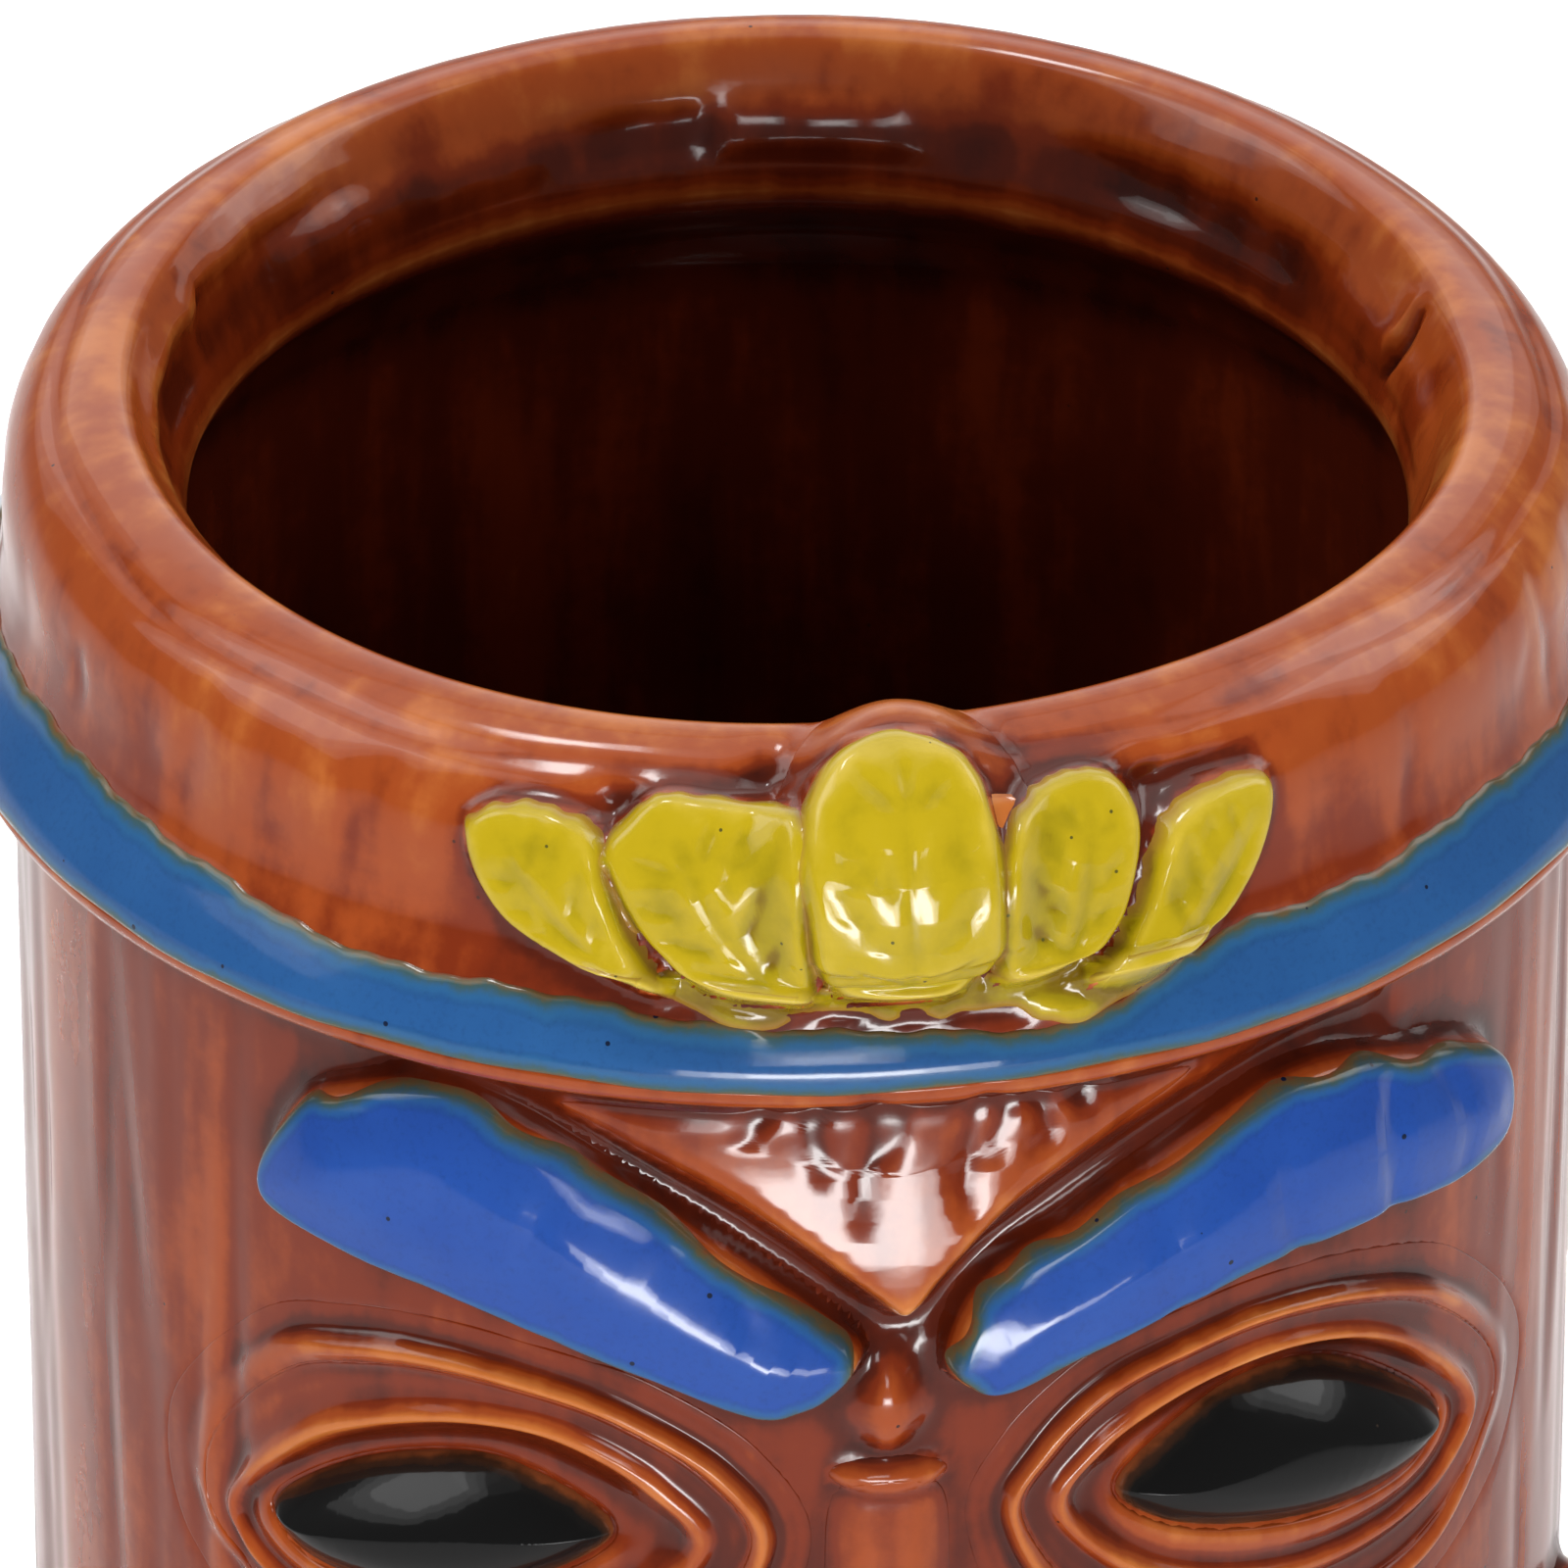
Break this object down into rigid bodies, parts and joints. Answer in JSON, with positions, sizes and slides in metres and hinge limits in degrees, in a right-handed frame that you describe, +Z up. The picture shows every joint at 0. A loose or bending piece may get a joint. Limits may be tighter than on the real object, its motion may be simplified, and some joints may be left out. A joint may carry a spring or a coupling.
{
  "type": "tiki mug",
  "caption": "Tall ceramic drinking mug with a rolled rim, carved-style face in relief, glazed headband and leaves.",
  "frame": {"origin": "centre of the foot, on the plane it stands on", "axes": "+Z up through the mouth, -Y the way the face looks, +X to the right of someone looking at the face"},
  "size_m": [0.0874, 0.0886, 0.1519],
  "materials": {
    "brown_glaze": "gloss, breaking to tan on edges",
    "blue_glaze": "gloss",
    "green_glaze": "gloss",
    "black_glaze": "high gloss",
    "bare_clay": "unglazed, matte"
  },
  "bodies": {
    "root": {"mug_body": "brown_glaze", "foot_ring": "bare_clay", "headband": "blue_glaze", "headband_roll": "brown_glaze", "leaf_centre": "green_glaze", "leaf_inner_left": "green_glaze", "leaf_inner_right": "green_glaze", "leaf_outer_left": "green_glaze", "leaf_outer_right": "green_glaze", "leaf_strip": "green_glaze", "leaf_mound": "brown_glaze", "brow_left": "blue_glaze", "brow_ridge_left": "brown_glaze", "eye_left": "black_glaze", "eyelid_left": "brown_glaze", "socket_ridge_left": "brown_glaze", "nostril_left": "brown_glaze", "ear_left": "brown_glaze", "ear_lobe_left": "brown_glaze", "brow_right": "blue_glaze", "brow_ridge_right": "brown_glaze", "eye_right": "black_glaze", "eyelid_right": "brown_glaze", "socket_ridge_right": "brown_glaze", "nostril_right": "brown_glaze", "ear_right": "brown_glaze", "ear_lobe_right": "brown_glaze", "forehead_wedge": "brown_glaze", "nose_bridge": "brown_glaze", "nose": "brown_glaze", "lips": "brown_glaze", "upper_teeth": "brown_glaze", "lower_teeth": "brown_glaze"}
  },
  "joints": []
}
